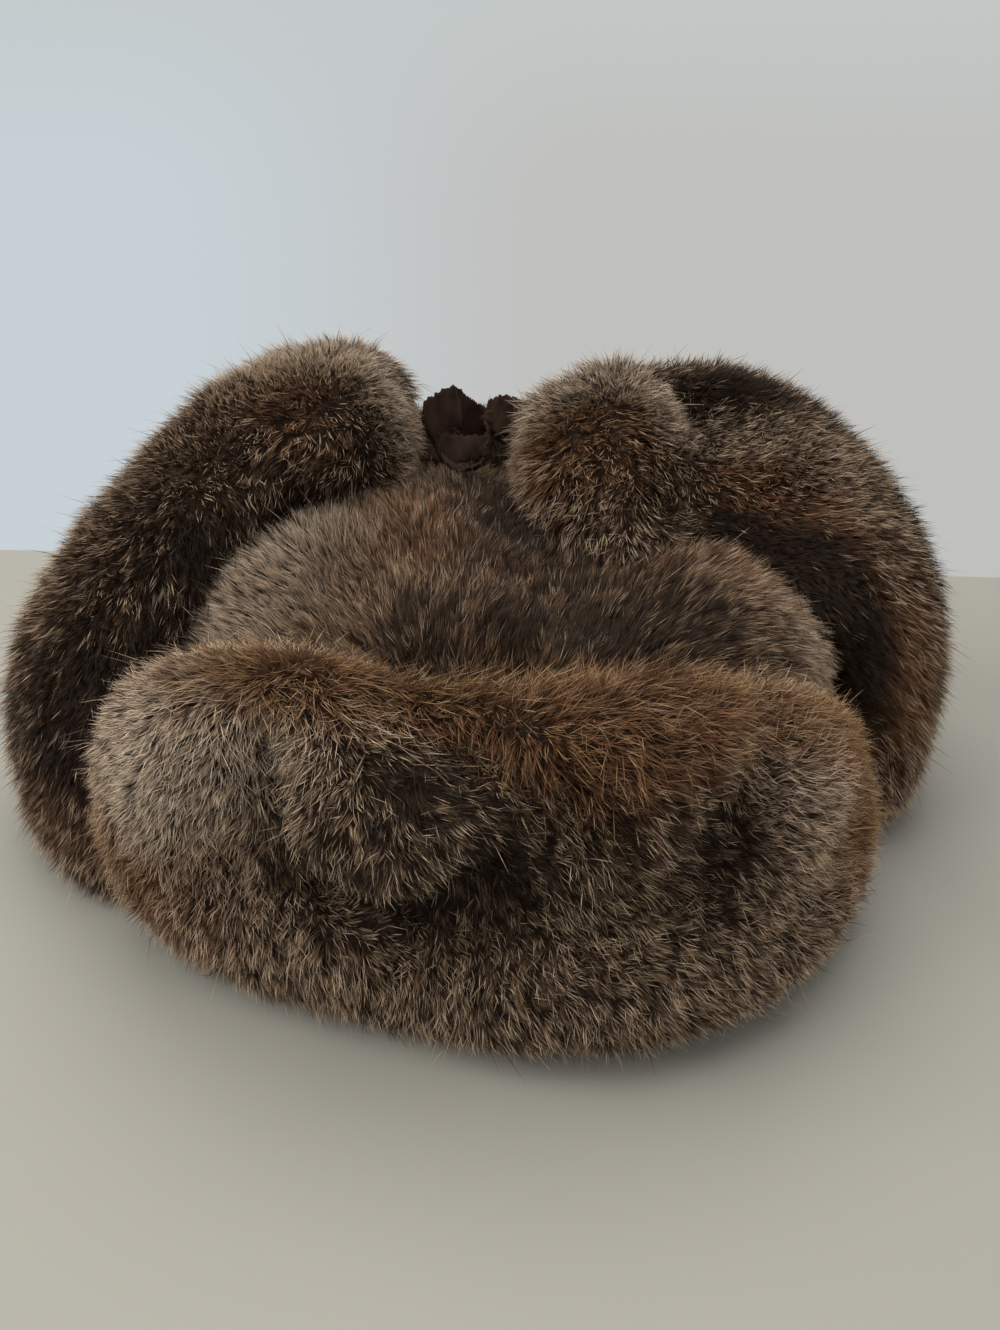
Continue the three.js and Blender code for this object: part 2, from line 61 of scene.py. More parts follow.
def add_camera():
    turn, pitch, roll = (math.radians(a) for a in (TURN, PITCH, ROLL))
    back = Vector((math.sin(turn), -math.cos(turn), 0))
    right = Vector((math.cos(turn), math.sin(turn), 0))
    forward = -back * math.cos(pitch) + Vector((0, 0, -math.sin(pitch)))
    up = right.cross(forward)
    tilted = right * math.cos(roll) + up * math.sin(roll)
    up = tilted.cross(forward)
    data = bpy.data.cameras.new("camera")
    data.lens = LENS
    data.sensor_width = 36
    data.clip_start = 0.02
    data.clip_end = 50
    camera = bpy.data.objects.new("camera", data)
    scene.collection.objects.link(camera)
    place = (back * CAMERA_BACK + right * MIDDLE_X + Vector((0, 0, CAMERA_HEIGHT))) * MM
    turned = Matrix((tilted, up, -forward)).transposed().to_4x4()
    camera.matrix_world = Matrix.Translation(place) @ turned
    scene.camera = camera


# Node helpers


class Nodes:
    """A material's node tree, with short calls for its nodes and links."""

    def __init__(self, material):
        material.use_nodes = True
        self.tree = material.node_tree
        self.tree.nodes.clear()

    def add(self, kind, inputs=None, **settings):
        node = self.tree.nodes.new(kind)
        for key, value in settings.items():
            setattr(node, key, value)
        for key, value in (inputs or {}).items():
            self.give(node.inputs[key], value)
        return node

    def give(self, socket, value):
        if isinstance(value, bpy.types.NodeSocket):
            self.tree.links.new(value, socket)
        else:
            socket.default_value = value

    def math(self, operation, *values, clamp=False):
        node = self.add("ShaderNodeMath", operation=operation, use_clamp=clamp)
        for socket, value in zip(node.inputs, values):
            self.give(socket, value)
        return node.outputs[0]

    def smooth(self, value, low, high):
        node = self.add(
            "ShaderNodeMapRange",
            {"Value": value, "From Min": low, "From Max": high},
            interpolation_type="SMOOTHSTEP",
        )
        return node.outputs["Result"]

    def mix(self, factor, a, b, blend="MIX"):
        node = self.add("ShaderNodeMix", data_type="RGBA", blend_type=blend, clamp_factor=True)
        self.give(node.inputs[0], factor)
        self.give(node.inputs[6], a)
        self.give(node.inputs[7], b)
        return node.outputs[2]

    def ramp(self, value, stops):
        node = self.add("ShaderNodeValToRGB", {"Fac": value})
        ramp = node.color_ramp
        while len(ramp.elements) < len(stops):
            ramp.elements.new(1)
        for element, (at, colour) in zip(ramp.elements, stops):
            element.position = at
            element.color = (*colour, 1)
        return node.outputs["Color"]

    def noise(self, scale, detail=2, rough=0.5, coordinate=None):
        if coordinate is None:
            coordinate = self.add("ShaderNodeTexCoord").outputs["Object"]
        node = self.add(
            "ShaderNodeTexNoise",
            {"Vector": coordinate, "Scale": scale, "Detail": detail, "Roughness": rough},
        )
        return node.outputs["Fac"]


# Materials

# A hair's colours from its root to its tip. The frosty and silver colours are the fur's own pale tips and
# also paint highlight; the deep and black colours are dark hair and also paint shade.
HAIR_COLOURS = {
    "plain": ((0.022, 0.0145, 0.011), (0.08, 0.052, 0.036), (0.255, 0.164, 0.098), (0.34, 0.222, 0.134)),
    "rusty": ((0.028, 0.013, 0.007), (0.09, 0.04, 0.017), (0.215, 0.104, 0.052), (0.30, 0.157, 0.083)),
    "frost_and_highlight": ((0.045, 0.032, 0.024), (0.18, 0.132, 0.098), (0.55, 0.42, 0.3), (0.715, 0.555, 0.4)),
    "deep_and_shade": ((0.010, 0.0065, 0.005), (0.026, 0.0165, 0.0115), (0.07, 0.045, 0.03), (0.085, 0.055, 0.037)),
    "black_and_shade": ((0.010, 0.0065, 0.005), (0.022, 0.014, 0.01), (0.03, 0.019, 0.013), (0.016, 0.011, 0.008)),
    "banded": ((0.014, 0.009, 0.007), (0.04, 0.025, 0.017), (0.55, 0.395, 0.262), (0.78, 0.60, 0.425)),
    "golden": ((0.025, 0.012, 0.006), (0.08, 0.036, 0.015), (0.34, 0.212, 0.1), (0.52, 0.355, 0.18)),
    "silver_and_highlight": ((0.03, 0.022, 0.017), (0.12, 0.09, 0.07), (0.66, 0.53, 0.395), (0.84, 0.70, 0.54)),
}
WITH_A_BAND = ("banded", "golden", "silver_and_highlight")
BAND_STOPS = (0, 0.48, 0.7, 1)
EVEN_STOPS = (0, 0.35, 0.75, 1)


def hair_material():
    """Rabbit hair. The mesh holds how far along its hair each point lies, and each hair's look and region.

    The grey regions are partly painted highlight and the dark regions are painted shade.
    """
    material = bpy.data.materials.new("rabbit_hair")
    n = Nodes(material)
    hair = n.add("ShaderNodeAttribute", attribute_name="hair")
    region = n.add("ShaderNodeAttribute", attribute_name="region")
    along, tone, kind = n.add("ShaderNodeSeparateColor", {"Color": hair.outputs["Color"]}).outputs
    rust, grey, dark = n.add("ShaderNodeSeparateColor", {"Color": region.outputs["Color"]}).outputs
    layer, value = hair.outputs["Alpha"], region.outputs["Alpha"]
    look = {}
    for name, colours in HAIR_COLOURS.items():
        stops = BAND_STOPS if name in WITH_A_BAND else EVEN_STOPS
        look[name] = n.ramp(along, list(zip(stops, colours)))

    def blend(total, *shares):
        """The total with each value's share added, from pairs of a value and its share."""
        for part, share in shares:
            total = n.math("MULTIPLY_ADD", part, share, total)
        return total

    # The wool is soft and even, in its region's colour, paler where highlight is painted and darker where
    # shade is painted
    wool = n.mix(n.smooth(blend(rust, (kind, 0.4)), 0.35, 0.9), look["plain"], look["rusty"])
    wool = n.mix(n.smooth(grey, 0.1, 0.9), wool, look["frost_and_highlight"])
    wool = n.mix(n.smooth(blend(tone, (grey, 0.5), (dark, -0.75)), 0, 0.42), look["deep_and_shade"], wool)

    # The guard hair is dark with a crisp pale band before its tip, or without a band. It turns silver in the
    # grey regions, which are partly painted highlight, and black without a band where shade is painted
    guard = n.mix(n.smooth(blend(0, (kind, 0.6), (rust, 0.8)), 0.7, 1.1), look["banded"], look["golden"])
    guard = n.mix(n.smooth(grey, 0.2, 0.9), guard, look["silver_and_highlight"])
    bandless = n.mix(n.smooth(blend(rust, (dark, -0.6)), 0.2, 0.65), look["black_and_shade"], look["rusty"])
    guard = n.mix(n.smooth(blend(tone, (grey, 0.35), (dark, -0.42)), 0.34, 0.5), bandless, guard)

    colour = n.mix(layer, wool, guard)
    brightness = n.math("MULTIPLY_ADD", value, 0.6, 0.7)
    dimmer = n.add("ShaderNodeCombineColor", {"Red": brightness, "Green": brightness, "Blue": brightness})
    colour = n.mix(1.0, colour, dimmer.outputs[0], "MULTIPLY")

    face = n.add("ShaderNodeBsdfPrincipled", {"Base Color": colour})
    face.inputs["Roughness"].default_value = 0.6
    face.inputs["Specular IOR Level"].default_value = 0.1
    through = n.add("ShaderNodeBsdfTranslucent", {"Color": colour})
    both = n.add("ShaderNodeMixShader", {"Fac": 0.25})
    n.give(both.inputs[1], face.outputs[0])
    n.give(both.inputs[2], through.outputs[0])
    n.add("ShaderNodeOutputMaterial", {"Surface": both.outputs[0]})
    return material


def pelt_material():
    """The dense underfur at the roots, dark and matt; the dark is partly painted shade between the hairs."""
    material = bpy.data.materials.new("underfur")
    n = Nodes(material)
    fine = n.noise(900, 3, 0.6)
    broad = n.noise(60, 2)
    colour = n.mix(n.smooth(broad, 0.35, 0.7), (0.018, 0.011, 0.008, 1), (0.045, 0.025, 0.015, 1))
    colour = n.mix(n.smooth(fine, 0.5, 0.8), colour, (0.075, 0.045, 0.028, 1))
    bump = n.add("ShaderNodeBump", {"Height": fine, "Strength": 0.8, "Distance": 0.002})
    body = n.add("ShaderNodeBsdfPrincipled", {"Base Color": colour, "Normal": bump.outputs[0]})
    body.inputs["Roughness"].default_value = 0.95
    body.inputs["Specular IOR Level"].default_value = 0.1
    n.add("ShaderNodeOutputMaterial", {"Surface": body.outputs[0]})
    return material


def hide_material():
    """The skin side of the pelt, inside the crown and under its rim."""
    material = bpy.data.materials.new("hide")
    n = Nodes(material)
    broad = n.noise(35, 4, 0.6)
    fine = n.noise(1400, 2, 0.6)
    colour = n.mix(broad, (0.075, 0.048, 0.032, 1), (0.135, 0.09, 0.06, 1))
    colour = n.mix(n.math("MULTIPLY", fine, 0.4), colour, (0.04, 0.026, 0.018, 1))
    height = n.math("ADD", n.math("MULTIPLY", broad, 0.7), n.math("MULTIPLY", fine, 0.3))
    bump = n.add("ShaderNodeBump", {"Height": height, "Strength": 0.5, "Distance": 0.0015})
    body = n.add("ShaderNodeBsdfPrincipled", {"Base Color": colour, "Normal": bump.outputs[0]})
    body.inputs["Roughness"].default_value = 0.9
    body.inputs["Specular IOR Level"].default_value = 0.15
    body.inputs["Sheen Weight"].default_value = 0.15
    n.add("ShaderNodeOutputMaterial", {"Surface": body.outputs[0]})
    return material


def suede_material():
    material = bpy.data.materials.new("suede")
    n = Nodes(material)
    broad = n.noise(70, 4, 0.6)
    fine = n.noise(2200, 3, 0.7)
    colour = n.mix(n.smooth(broad, 0.38, 0.68), (0.016, 0.009, 0.0065, 1), (0.038, 0.021, 0.0145, 1))
    colour = n.mix(n.smooth(fine, 0.5, 0.8), colour, (0.085, 0.046, 0.03, 1))
    height = n.math("ADD", n.math("MULTIPLY", broad, 0.5), n.math("MULTIPLY", fine, 0.5))
    bump = n.add("ShaderNodeBump", {"Height": height, "Strength": 0.6, "Distance": 0.0006})
    body = n.add("ShaderNodeBsdfPrincipled", {"Base Color": colour, "Normal": bump.outputs[0]})
    body.inputs["Roughness"].default_value = 0.95
    body.inputs["Specular IOR Level"].default_value = 0.06
    body.inputs["Sheen Weight"].default_value = 0.08
    body.inputs["Sheen Roughness"].default_value = 0.6
    body.inputs["Sheen Tint"].default_value = (0.75, 0.45, 0.32, 1)
    n.add("ShaderNodeOutputMaterial", {"Surface": body.outputs[0]})
    return material


def plain_material(name, colour, roughness):
    material = bpy.data.materials.new(name)
    n = Nodes(material)
    speck = n.noise(14, 3)
    tinted = n.mix(n.math("MULTIPLY", speck, 0.12), (*colour, 1), (*(c * 0.8 for c in colour), 1))
    body = n.add("ShaderNodeBsdfPrincipled", {"Base Color": tinted})
    body.inputs["Roughness"].default_value = roughness
    n.add("ShaderNodeOutputMaterial", {"Surface": body.outputs[0]})
    return material


# Pelts, from the CAD solids


def mesh_object(name, mesh, material=None):
    made = bpy.data.objects.new(name, mesh)
    scene.collection.objects.link(made)
    if material:
        mesh.materials.append(material)
    return made


def pelt(node, voxel, rounds):
    """The node's solid remeshed and softened, as an object of its own."""
    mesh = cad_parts[node].data.copy()
    mesh.materials.clear()
    made = mesh_object(node + "_pelt", mesh)
    remesh = made.modifiers.new("remesh", "REMESH")
    remesh.mode = "VOXEL"
    remesh.voxel_size = voxel * MM
    soften = made.modifiers.new("soften", "SMOOTH")
    soften.factor = 0.5
    soften.iterations = rounds
    bpy.context.view_layer.update()
    graph = bpy.context.evaluated_depsgraph_get()
    softened = bpy.data.meshes.new_from_object(made.evaluated_get(graph))
    made.modifiers.clear()
    made.data = softened
    softened.name = made.name
    bpy.data.meshes.remove(mesh)
    softened.shade_smooth()
    made.data.materials.append(UNDERFUR)
    return made


# Folds pressed into a pelt, or raised where the depth is negative. Each row is a line from one place to
# another, with its half width and its depth.

FOLDS = {
    "front_flap": [
        ((-72, -130, 92), (-71, -133, 76), 5.5, 9),
        ((-71, -133, 76), (-60, -133, 52), 5.5, 12),
        ((-60, -133, 52), (-40, -138, 47), 5.5, 13),
        ((-40, -138, 47), (-20, -150, 62), 6, 11),
        ((-20, -150, 62), (4, -152, 72), 7, 7),
        ((100, -128, 96), (116, -108, 78), 13, 5),
        ((-8, -136, 112), (-30, -130, 114), 9, 4),
        ((-44, -148, 84), (-32, -150, 74), 14, -7),
        ((-40, -130, 106), (-22, -140, 96), 7, 7),
        ((-22, -140, 96), (-2, -151, 84), 7, 8),
        ((60, -142, 94), (50, -152, 76), 8, 8),
        ((50, -152, 76), (40, -152, 52), 9, 7),
        ((-98, -118, 84), (-96, -120, 74), 18, -4),
        ((30, -155, 84), (26, -156, 72), 16, -3),
        ((80, -138, 62), (84, -136, 50), 16, -3),
        ((-10, -157, 36), (30, -158, 32), 18, -3),
    ],
    "ear_flap_right": [
        ((74, -12, 148), (68, 12, 157), 6, 8),
        ((68, -24, 146), (62, -38, 128), 6, 6),
        ((62, -38, 128), (84, -46, 114), 9, 4),
        ((40, -20, 146), (34, -26, 136), 14, -3),
        ((35, -18, 148), (30, -20, 138), 14, -4),
    ],
    "ear_flap_left": [
        ((-100, -20, 148), (-88, -34, 142), 9, 3),
        ((-30, -14, 148), (-32, 22, 154), 11, 6.5),
    ],
    "crown": [
        ((-94, -52, 88), (-72, -52, 106), 17, -7),
        ((-72, -48, 108), (-50, -30, 120), 13, -5),
        ((70, -66, 98), (96, -60, 84), 18, -4),
        ((2, -40, 118), (14, -80, 104), 10, 5),
    ],
}


# The lowest that a pelt and its hair may reach
PELT_FLOOR = 0.3 * MM
HAIR_FLOOR = 0.4 * MM


def pressed(points, rows):
    """How deep the folds press each point in, in millimetres."""
    push = np.zeros(len(points))
    for start, end, width, depth in rows:
        a, b = np.array(start) * MM, np.array(end) * MM
        along = np.clip((points - a) @ (b - a) / ((b - a) @ (b - a)), 0, 1)
        away = ((points - a - along[:, None] * (b - a)) ** 2).sum(1)
        push += depth * np.exp(-away / (2 * (width * MM) ** 2))
    return push


def fold(made, rows):
    mesh = made.data
    co, no = points_of(mesh)
    moved = co - no * (pressed(co, rows) * MM)[:, None]
    moved[:, 2] = np.maximum(moved[:, 2], PELT_FLOOR)
    mesh.vertices.foreach_set("co", moved.ravel().astype(np.float32))
    mesh.update()


def points_of(mesh):
    co = np.empty(len(mesh.vertices) * 3, np.float32)
    mesh.vertices.foreach_get("co", co)
    no = np.empty(len(mesh.vertices) * 3, np.float32)
    mesh.vertices.foreach_get("normal", no)
    return co.reshape(-1, 3).astype(float), no.reshape(-1, 3).astype(float)


def tree_of(mesh):
    co, _ = points_of(mesh)
    return BVHTree.FromPolygons([Vector(c) for c in co], [tuple(p.vertices) for p in mesh.polygons])


MOST_ROOM = 40 * MM


def room_above(mesh, others):
    """How far each vertex may grow hair before it meets another pelt, in metres. It is 0 inside one."""
    co, no = points_of(mesh)
    room = np.full(len(co), MOST_ROOM)
    for i, (p, normal) in enumerate(zip(co, no)):
        p, normal = Vector(p), Vector(normal)
        for tree in others:
            hit, face, _, distance = tree.ray_cast(p, normal, MOST_ROOM)
            if hit is not None:
                room[i] = min(room[i], 0 if face.dot(normal) > 0 else distance)
    return room


# Regions of the fur's colour: rust, grey that is partly painted highlight, and painted shade. Each row is a
# soft
# round patch: its middle, its radius and its strength, and the piece that it is for, if it isn't for all.

RUST = [
    (-10, -60, 114, 32, 0.45, "crown"),
    (55, -68, 106, 26, 0.35, "crown"),
    (-34, -22, 125, 28, 0.32, "crown"),
    (-140, -52, 90, 24, 0.2, "ear_flap_left"),
    (6, -130, 108, 20, 0.7),
    (32, -132, 108, 22, 0.7),
    (58, -134, 100, 18, 0.5),
    (-25, -132, 110, 16, 0.5),
    (-94, -107, 103, 9, 1.0),
    (-79, -113, 109, 10, 1.0),
    (-62, -118, 113, 11, 1.0),
    (-42, -124, 114, 12, 1.0),
    (-18, -128, 113, 12, 0.8),
    (86, -120, 90, 13, 0.5, "front_flap"),
    (102, -112, 68, 15, 0.6, "front_flap"),
    (84, -124, 101, 13, 0.6, "front_flap"),
    (102, -112, 95, 13, 0.6, "front_flap"),
    (108, -110, 56, 16, 0.6, "front_flap"),
    (10, -148, 96, 18, 0.35),
    (-121, -103, 45, 18, 0.6),
    (-100, -118, 30, 18, 0.35),
    (100, -115, 40, 20, 0.5),
    (34, -22, 141, 16, 0.9),
    (20, -10, 135, 14, 0.5),
    (85, -30, 130, 18, 0.5),
    (100, -35, 112, 24, 0.45),
    (130, -50, 85, 26, 0.4),
    (144, -58, 45, 32, 0.3),
    (125, -62, 60, 22, 0.4),
    (-152, -62, 34, 24, 0.6),
    (-120, -40, 80, 30, 0.25),
    (-62, -24, 154, 18, 0.6),
    (-98, -40, 135, 20, 0.3),
]
# Partly the fur's own frosty tips and partly painted highlight, on the lit sides of the crown, the front
# flap's upper left and the tops of the ear tips
GREY_AND_HIGHLIGHT = [
    (-98, -115, 86, 18, 0.75),
    (-110, -109, 68, 15, 0.5),
    (-72, -131, 90, 12, 0.5),
    (-48, -136, 92, 12, 0.25),
    (57, -146, 90, 12, 0.5),
    (74, -141, 70, 14, 0.45),
    (-95, -50, 92, 22, 0.8, "crown"),
    (-80, -48, 106, 20, 0.75, "crown"),
    (-62, -34, 116, 16, 0.45, "crown"),
    (88, -62, 88, 18, 0.45, "crown"),
    (109, -56, 66, 18, 0.5, "crown"),
    (-33, -10, 150, 12, 0.9),
    (-38, 20, 162, 14, 0.8),
    (-60, 22, 166, 18, 0.8),
    (-88, 18, 157, 15, 0.6),
    (14, 4, 151, 12, 0.9),
    (36, 10, 163, 14, 1.0),
    (54, 6, 159, 13, 1.0),
    (66, -6, 150, 8, 0.9),
    (70, -18, 142, 8, 0.5),
    (90, -2, 142, 12, 0.45),
    (112, 2, 138, 13, 0.4),
    (132, -2, 128, 13, 0.3),
    (148, -12, 112, 13, 0.25),
    (-67, -135, 30, 22, 0.2),
]
# Painted shade: darker hair in the folds, in the gaps between the pieces, along the ear flaps' inner sides
# and back rims, on the crown under the front flap's edge and the tie, and on the nape flap behind the crown
PAINTED_SHADE = [
    (0, -62, 112, 30, 0.45, "crown"),
    (40, -70, 106, 24, 0.3, "crown"),
    (10, -10, 120, 22, 0.5, "crown"),
    (30, -142, 100, 22, 0.45, "front_flap"),
    (-72, -129, 84, 11, 0.8),
    (-64, -130, 54, 10, 0.8),
    (-40, -134, 47, 11, 0.9),
    (-16, -148, 62, 12, 0.6),
    (-25, -138, 97, 11, 0.25),
    (-6, -148, 86, 11, 0.25),
    (46, -152, 64, 14, 0.5),
    (0, -154, 45, 20, 0.15),
    (84, 18, 149, 12, 1.0),
    (100, 32, 149, 10, 0.8),
    (128, 34, 142, 12, 0.7),
    (154, 22, 122, 12, 0.6),
    (163, 0, 108, 16, 0.6),
    (168, -10, 85, 16, 0.5),
    (92, -46, 110, 14, 0.8, "ear_flap_right"),
    (106, -56, 99, 14, 0.9, "ear_flap_right"),
    (74, -40, 122, 11, 0.6, "ear_flap_right"),
    (116, -66, 84, 13, 0.85, "ear_flap_right"),
    (122, -68, 64, 14, 0.8, "ear_flap_right"),
    (120, -66, 44, 12, 0.5, "ear_flap_right"),
    (-100, -50, 122, 14, 0.3),
    (-106, -66, 104, 16, 0.2, "ear_flap_left"),
    (-86, -56, 116, 12, 0.7, "ear_flap_left"),
    (-66, -42, 128, 11, 0.7, "ear_flap_left"),
    (-102, -74, 84, 12, 0.7, "ear_flap_left"),
    (-110, -78, 64, 13, 0.8, "ear_flap_left"),
    (-120, -30, 128, 20, 0.2),
    (-130, -58, 95, 18, 0.2),
    (-128, -66, 70, 18, 0.35),
    (-30, -92, 98, 11, 0.5, "crown"),
    (0, -94, 98, 11, 0.6, "crown"),
    (28, -92, 98, 11, 0.6, "crown"),
    (56, -84, 98, 11, 0.5, "crown"),
    (82, -76, 88, 11, 0.5, "crown"),
    (8, -20, 118, 14, 0.5, "crown"),
    (-36, -142, 90, 9, 0.6),
    (20, -12, 124, 14, 1.0, "crown"),
    (-48, -145, 70, 11, 0.45),
    (-142, -56, 74, 18, 0.3),
    (-152, -62, 46, 22, 0.4, "ear_flap_left"),
    (8, 118, 105, 45, 1.0),
]


def patches(points, table, node):
    total = np.zeros(len(points))
    for x, y, z, radius, strength, *only in table:
        if only and node not in only:
            continue
        away = ((points - np.array((x, y, z)) * MM) ** 2).sum(1)
        total += strength * np.exp(-away / (2 * (radius * MM) ** 2))
    return np.clip(total, 0, 1)


# Where long hair stands up along the front flap's top edge, and at the ear flaps' tips
FRINGE = [
    (-85, -114, 106, 14, 0.5),
    (-60, -120, 112, 13, 0.8),
    (-35, -126, 112, 13, 1.0),
    (-10, -132, 111, 13, 0.8),
    (12, -130, 112, 13, 1.0),
    (34, -130, 112, 14, 1.0),
    (58, -130, 108, 14, 0.9),
    (82, -124, 100, 14, 0.5),
    (16, 0, 148, 14, 0.8),
    (22, -16, 140, 14, 0.8),
    (52, 4, 158, 12, 0.5),
]
# Where the guard hair is thin, so that the wool shows through it
THIN = [
    (32, -22, 141, 13, 1.0, "ear_flap_right"),
    (22, -12, 140, 10, 0.6, "ear_flap_right"),
    (-60, -24, 154, 12, 0.6, "ear_flap_left"),
    (28, -134, 108, 12, 0.5, "front_flap"),
]
LAYERS = ("wool", "guard", "stray", "fringe")

# Lay of the fur. Each row is a place, the direction that the hair lies there, and how far that reaches.

FRONT_COMB = [
    ((-108, -110, 80), (-0.7, 0.1, -0.7), 26),
    ((-90, -118, 96), (-0.5, -0.2, -0.9), 24),
    ((-60, -128, 98), (0.2, -0.3, -1), 20),
    ((-36, -146, 92), (-0.5, -0.2, -1), 18),
    ((-40, -146, 72), (-1, 0, -0.25), 16),
    ((-52, -138, 64), (0.9, 0, -0.6), 14),
    ((-25, -145, 64), (1, 0, 0.25), 14),
    ((-11, -138, 108), (0.9, -0.5, -0.4), 20),
    ((20, -140, 104), (1, -0.3, -0.2), 20),
    ((40, -140, 104), (0.9, -0.1, 0.5), 16),
    ((14, -152, 86), (1, -0.1, -0.35), 24),
    ((50, -148, 84), (1, 0, -0.1), 20),
    ((62, -144, 88), (0.4, 0, -0.9), 14),
    ((80, -138, 66), (0.95, 0.2, 0.2), 20),
    ((100, -115, 40), (0.8, 0.5, -0.2), 20),
    ((43, -150, 57), (0.8, 0, -0.5), 20),
    ((0, -154, 50), (0.75, 0, -0.6), 26),
    ((-11, -156, 25), (0.6, 0, -0.8), 30),
    ((45, -156, 20), (0.9, 0, -0.5), 26),
    ((-67, -135, 28), (0.75, 0, -0.7), 26),
    ((-90, -125, 45), (0.6, -0.1, -0.8), 22),
    ((-114, -108, 41), (-0.4, 0.1, -0.9), 20),
]
CROWN_COMB = [
    ((-88, -45, 101), (-0.9, 0.3, 0.6), 30),
    ((-68, -27, 115), (-0.6, 0.8, 0.3), 26),
    ((-19, -53, 116), (0.1, 1, 0.3), 30),
    ((10, -83, 105), (0.25, 0.5, 0.7), 26),
    ((56, -59, 110), (0.8, 0.5, 0.1), 24),
    ((76, -77, 93), (0.9, 0.1, -0.2), 24),
    ((109, -56, 62), (0.85, -0.1, -0.6), 24),
]
EAR_COMB = [
    ((-49, -22, 158), (0.3, -0.9, 0), 22),
    ((-35, 0, 158), (1, -0.3, 0.1), 16),
    ((-82, -18, 157), (-0.1, -1, 0.1), 24),
    ((-113, -51, 118), (0.2, -1, -0.3), 26),
    ((-147, -65, 58), (-0.2, -0.9, -0.5), 30),
    ((35, -19, 143), (-0.2, -0.7, -0.5), 22),
    ((13, -2, 139), (-0.9, -0.4, -0.1), 16),
    ((83, -20, 135), (0.2, -1, 0.1), 24),
    ((120, -40, 112), (0.5, -0.9, 0.1), 26),
    ((150, -50, 62), (0.5, -0.9, -0.3), 30),
]


FLOW_SHARE = 0.12


def combed(points, normals, comb, flow):
    """Unit directions along the surface, from the nearest rows of the comb and the piece's own flow."""
    total = np.tile(np.array(flow, float) * FLOW_SHARE, (len(points), 1))
    for place, way, reach in comb:
        away = ((points - np.array(place) * MM) ** 2).sum(1)
        way = np.array(way, float) / np.linalg.norm(way)
        total += np.exp(-away / (2 * (reach * MM) ** 2))[:, None] * way
    total -= (total * normals).sum(1)[:, None] * normals
    short = np.linalg.norm(total, axis=1) < 1e-4
    total[short] = np.cross(normals[short], (0.3, 1, 0.2))
    return total / np.linalg.norm(total, axis=1)[:, None]


def turned(directions, normals, angles):
    side = np.cross(normals, directions)
    return directions * np.cos(angles)[:, None] + side * np.sin(angles)[:, None]


WAVE_COUNT = 7
WAVE_REACH = 3.2


def waves(points, seed, size):
    """A smooth irregular field from -1 to 1, whose bumps are about size millimetres across."""
    rng = np.random.default_rng(seed)
    total = np.zeros(len(points))
    for _ in range(WAVE_COUNT):
        way = rng.normal(size=3)
        way /= np.linalg.norm(way)
        stretch = rng.uniform(0.7, 1.5)
        total += np.sin(points @ way * (2 * math.pi * stretch / (size * MM)) + rng.uniform(0, 6.3))
    return np.clip(total / WAVE_REACH, -1, 1)


def scattered(mesh, count, weight, rng):
    """Even random places on a mesh: points, normals, and their faces' corners with each corner's share."""
    mesh.calc_loop_triangles()
    faces = np.empty(len(mesh.loop_triangles) * 3, np.int32)
    mesh.loop_triangles.foreach_get("vertices", faces)
    faces = faces.reshape(-1, 3)
    co, no = points_of(mesh)
    a, b, c = (co[faces[:, i]] for i in range(3))
    area = np.linalg.norm(np.cross(b - a, c - a), axis=1) * weight[faces].mean(1)
    edges = np.cumsum(area)
    at = (np.arange(count) + rng.random(count)) / count * edges[-1]
    face = np.minimum(np.searchsorted(edges, at), len(faces) - 1)
    u, v = rng.random(count), rng.random(count)
    over = u + v > 1
    u[over], v[over] = 1 - u[over], 1 - v[over]
    share = np.stack([1 - u - v, u, v], 1)[:, :, None]
    corners = faces[face]
    points = (co[corners] * share).sum(1)
    normals = (no[corners] * share).sum(1)
    normals /= np.linalg.norm(normals, axis=1)[:, None]
    return points, normals, corners, share[:, :, 0]


def clumps(points, count, rng):
    """For each point the number of the tuft that it belongs to, and each tuft's own index into points."""
    heads = rng.choice(len(points), count, replace=False)
    tree = kdtree.KDTree(len(heads))
    for i, head in enumerate(heads):
        tree.insert(points[head], i)
    tree.balance()
    nearest = np.fromiter((tree.find(p)[1] for p in points), np.int64, len(points))
    return nearest, heads


# The bake map's cells, across and up
MAP_COLUMNS = 64
MAP_ROWS = 32


def level(values, steps):
    """Values from 0 to 1 as whole numbers below steps."""
    return np.clip((values * steps).astype(int), 0, steps - 1)


def bake_map(at, shades, regions, bent):
    """Where each corner of each blade lies in the bake map. Blades that look alike share a cell."""
    column = level(regions[:, 0], 4) * 16 + level(regions[:, 1], 4) * 4 + level(regions[:, 2], 4)
    row = level(shades[:, 0], 8) * 4 + level(shades[:, 1], 4)
    sideways = np.array([0.5, 0.2, 0.8, 0.5] if bent else [0.2, 0.8, 0.5])
    u = (column[:, None] + sideways) / MAP_COLUMNS
    v = (row[:, None] + 0.1 + 0.8 * at) / MAP_ROWS
    return np.stack([u, v], 2).reshape(-1, 2)


